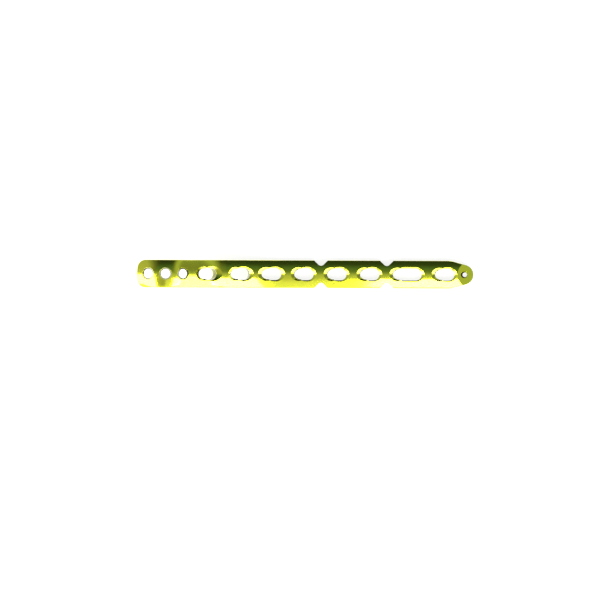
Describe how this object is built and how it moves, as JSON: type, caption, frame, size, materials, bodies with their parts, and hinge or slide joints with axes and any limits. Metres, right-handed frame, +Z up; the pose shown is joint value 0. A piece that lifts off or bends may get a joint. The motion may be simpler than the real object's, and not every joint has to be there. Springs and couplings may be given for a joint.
{
  "type": "orthopedic bone plate",
  "caption": "Narrow bone plate bent up to a round head, with keyhole combination holes along the shaft, round locking holes in the head and a bevelled nose.",
  "frame": {"origin": "middle of the length and width, in the plane of the flat underside that the plate rests on", "axes": "+X along the plate towards the bevelled nose, +Z up to the crowned side, Y = 0 the plane of symmetry"},
  "size_m": [0.1328, 0.011, 0.0204],
  "materials": {
    "anodised_metal": "anodised yellow-green, satin, with brushed traces"
  },
  "bodies": {
    "root": {"bone_plate": "anodised_metal"}
  },
  "joints": []
}
